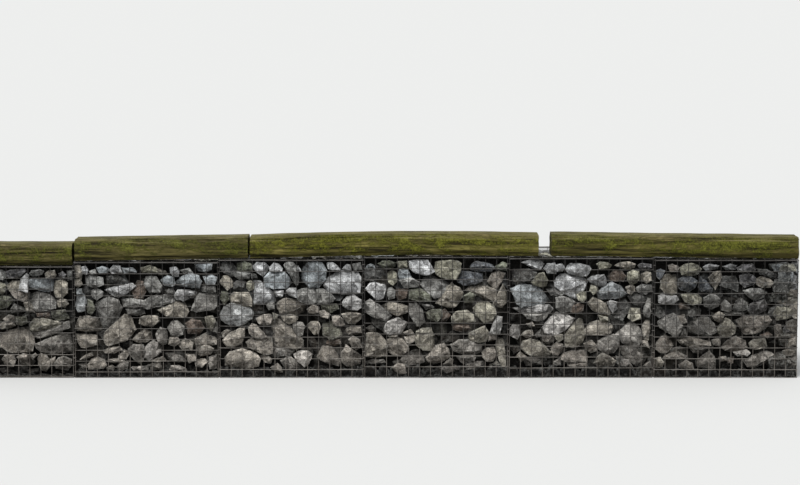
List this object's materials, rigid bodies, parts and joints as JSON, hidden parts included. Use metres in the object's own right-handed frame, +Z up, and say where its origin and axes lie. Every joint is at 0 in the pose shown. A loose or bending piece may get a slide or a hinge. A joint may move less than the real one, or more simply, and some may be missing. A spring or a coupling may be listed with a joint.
{
  "type": "gabion wall",
  "caption": "Row of welded-mesh gabion baskets packed with angular quarried stone, unevenly settled, with weathered timber sleepers laid along the front of the lids.",
  "frame": {"origin": "on the ground under the middle of the wall", "axes": "+X along the wall to the right of the face that shows, -Y out of that face, +Z up"},
  "size_m": [5.9336, 0.754, 0.9902],
  "materials": {
    "galvanised_wire": "dull weathered zinc",
    "quarried_stone": "rough broken",
    "weathered_timber": "rough, mossy"
  },
  "bodies": {
    "root": {"front_panel_1": "galvanised_wire", "front_panel_2": "galvanised_wire", "front_panel_3": "galvanised_wire", "front_panel_4": "galvanised_wire", "front_panel_5": "galvanised_wire", "front_panel_6": "galvanised_wire", "back_panel_1": "galvanised_wire", "back_panel_2": "galvanised_wire", "back_panel_3": "galvanised_wire", "back_panel_4": "galvanised_wire", "back_panel_5": "galvanised_wire", "back_panel_6": "galvanised_wire", "base_panel_1": "galvanised_wire", "base_panel_2": "galvanised_wire", "base_panel_3": "galvanised_wire", "base_panel_4": "galvanised_wire", "base_panel_5": "galvanised_wire", "base_panel_6": "galvanised_wire", "lid_panel_1": "galvanised_wire", "lid_panel_2": "galvanised_wire", "lid_panel_3": "galvanised_wire", "lid_panel_4": "galvanised_wire", "lid_panel_5": "galvanised_wire", "lid_panel_6": "galvanised_wire", "end_panel_left": "galvanised_wire", "end_panels_1_2": "galvanised_wire", "end_panels_2_3": "galvanised_wire", "end_panels_3_4": "galvanised_wire", "end_panels_4_5": "galvanised_wire", "end_panels_5_6": "galvanised_wire", "end_panel_right": "galvanised_wire", "stone_fill_1": "quarried_stone", "stone_fill_2": "quarried_stone", "stone_fill_3": "quarried_stone", "stone_fill_4": "quarried_stone", "stone_fill_5": "quarried_stone", "stone_fill_6": "quarried_stone", "sleeper_1": "weathered_timber", "sleeper_2": "weathered_timber", "sleeper_3": "weathered_timber", "sleeper_4": "weathered_timber"}
  },
  "joints": []
}
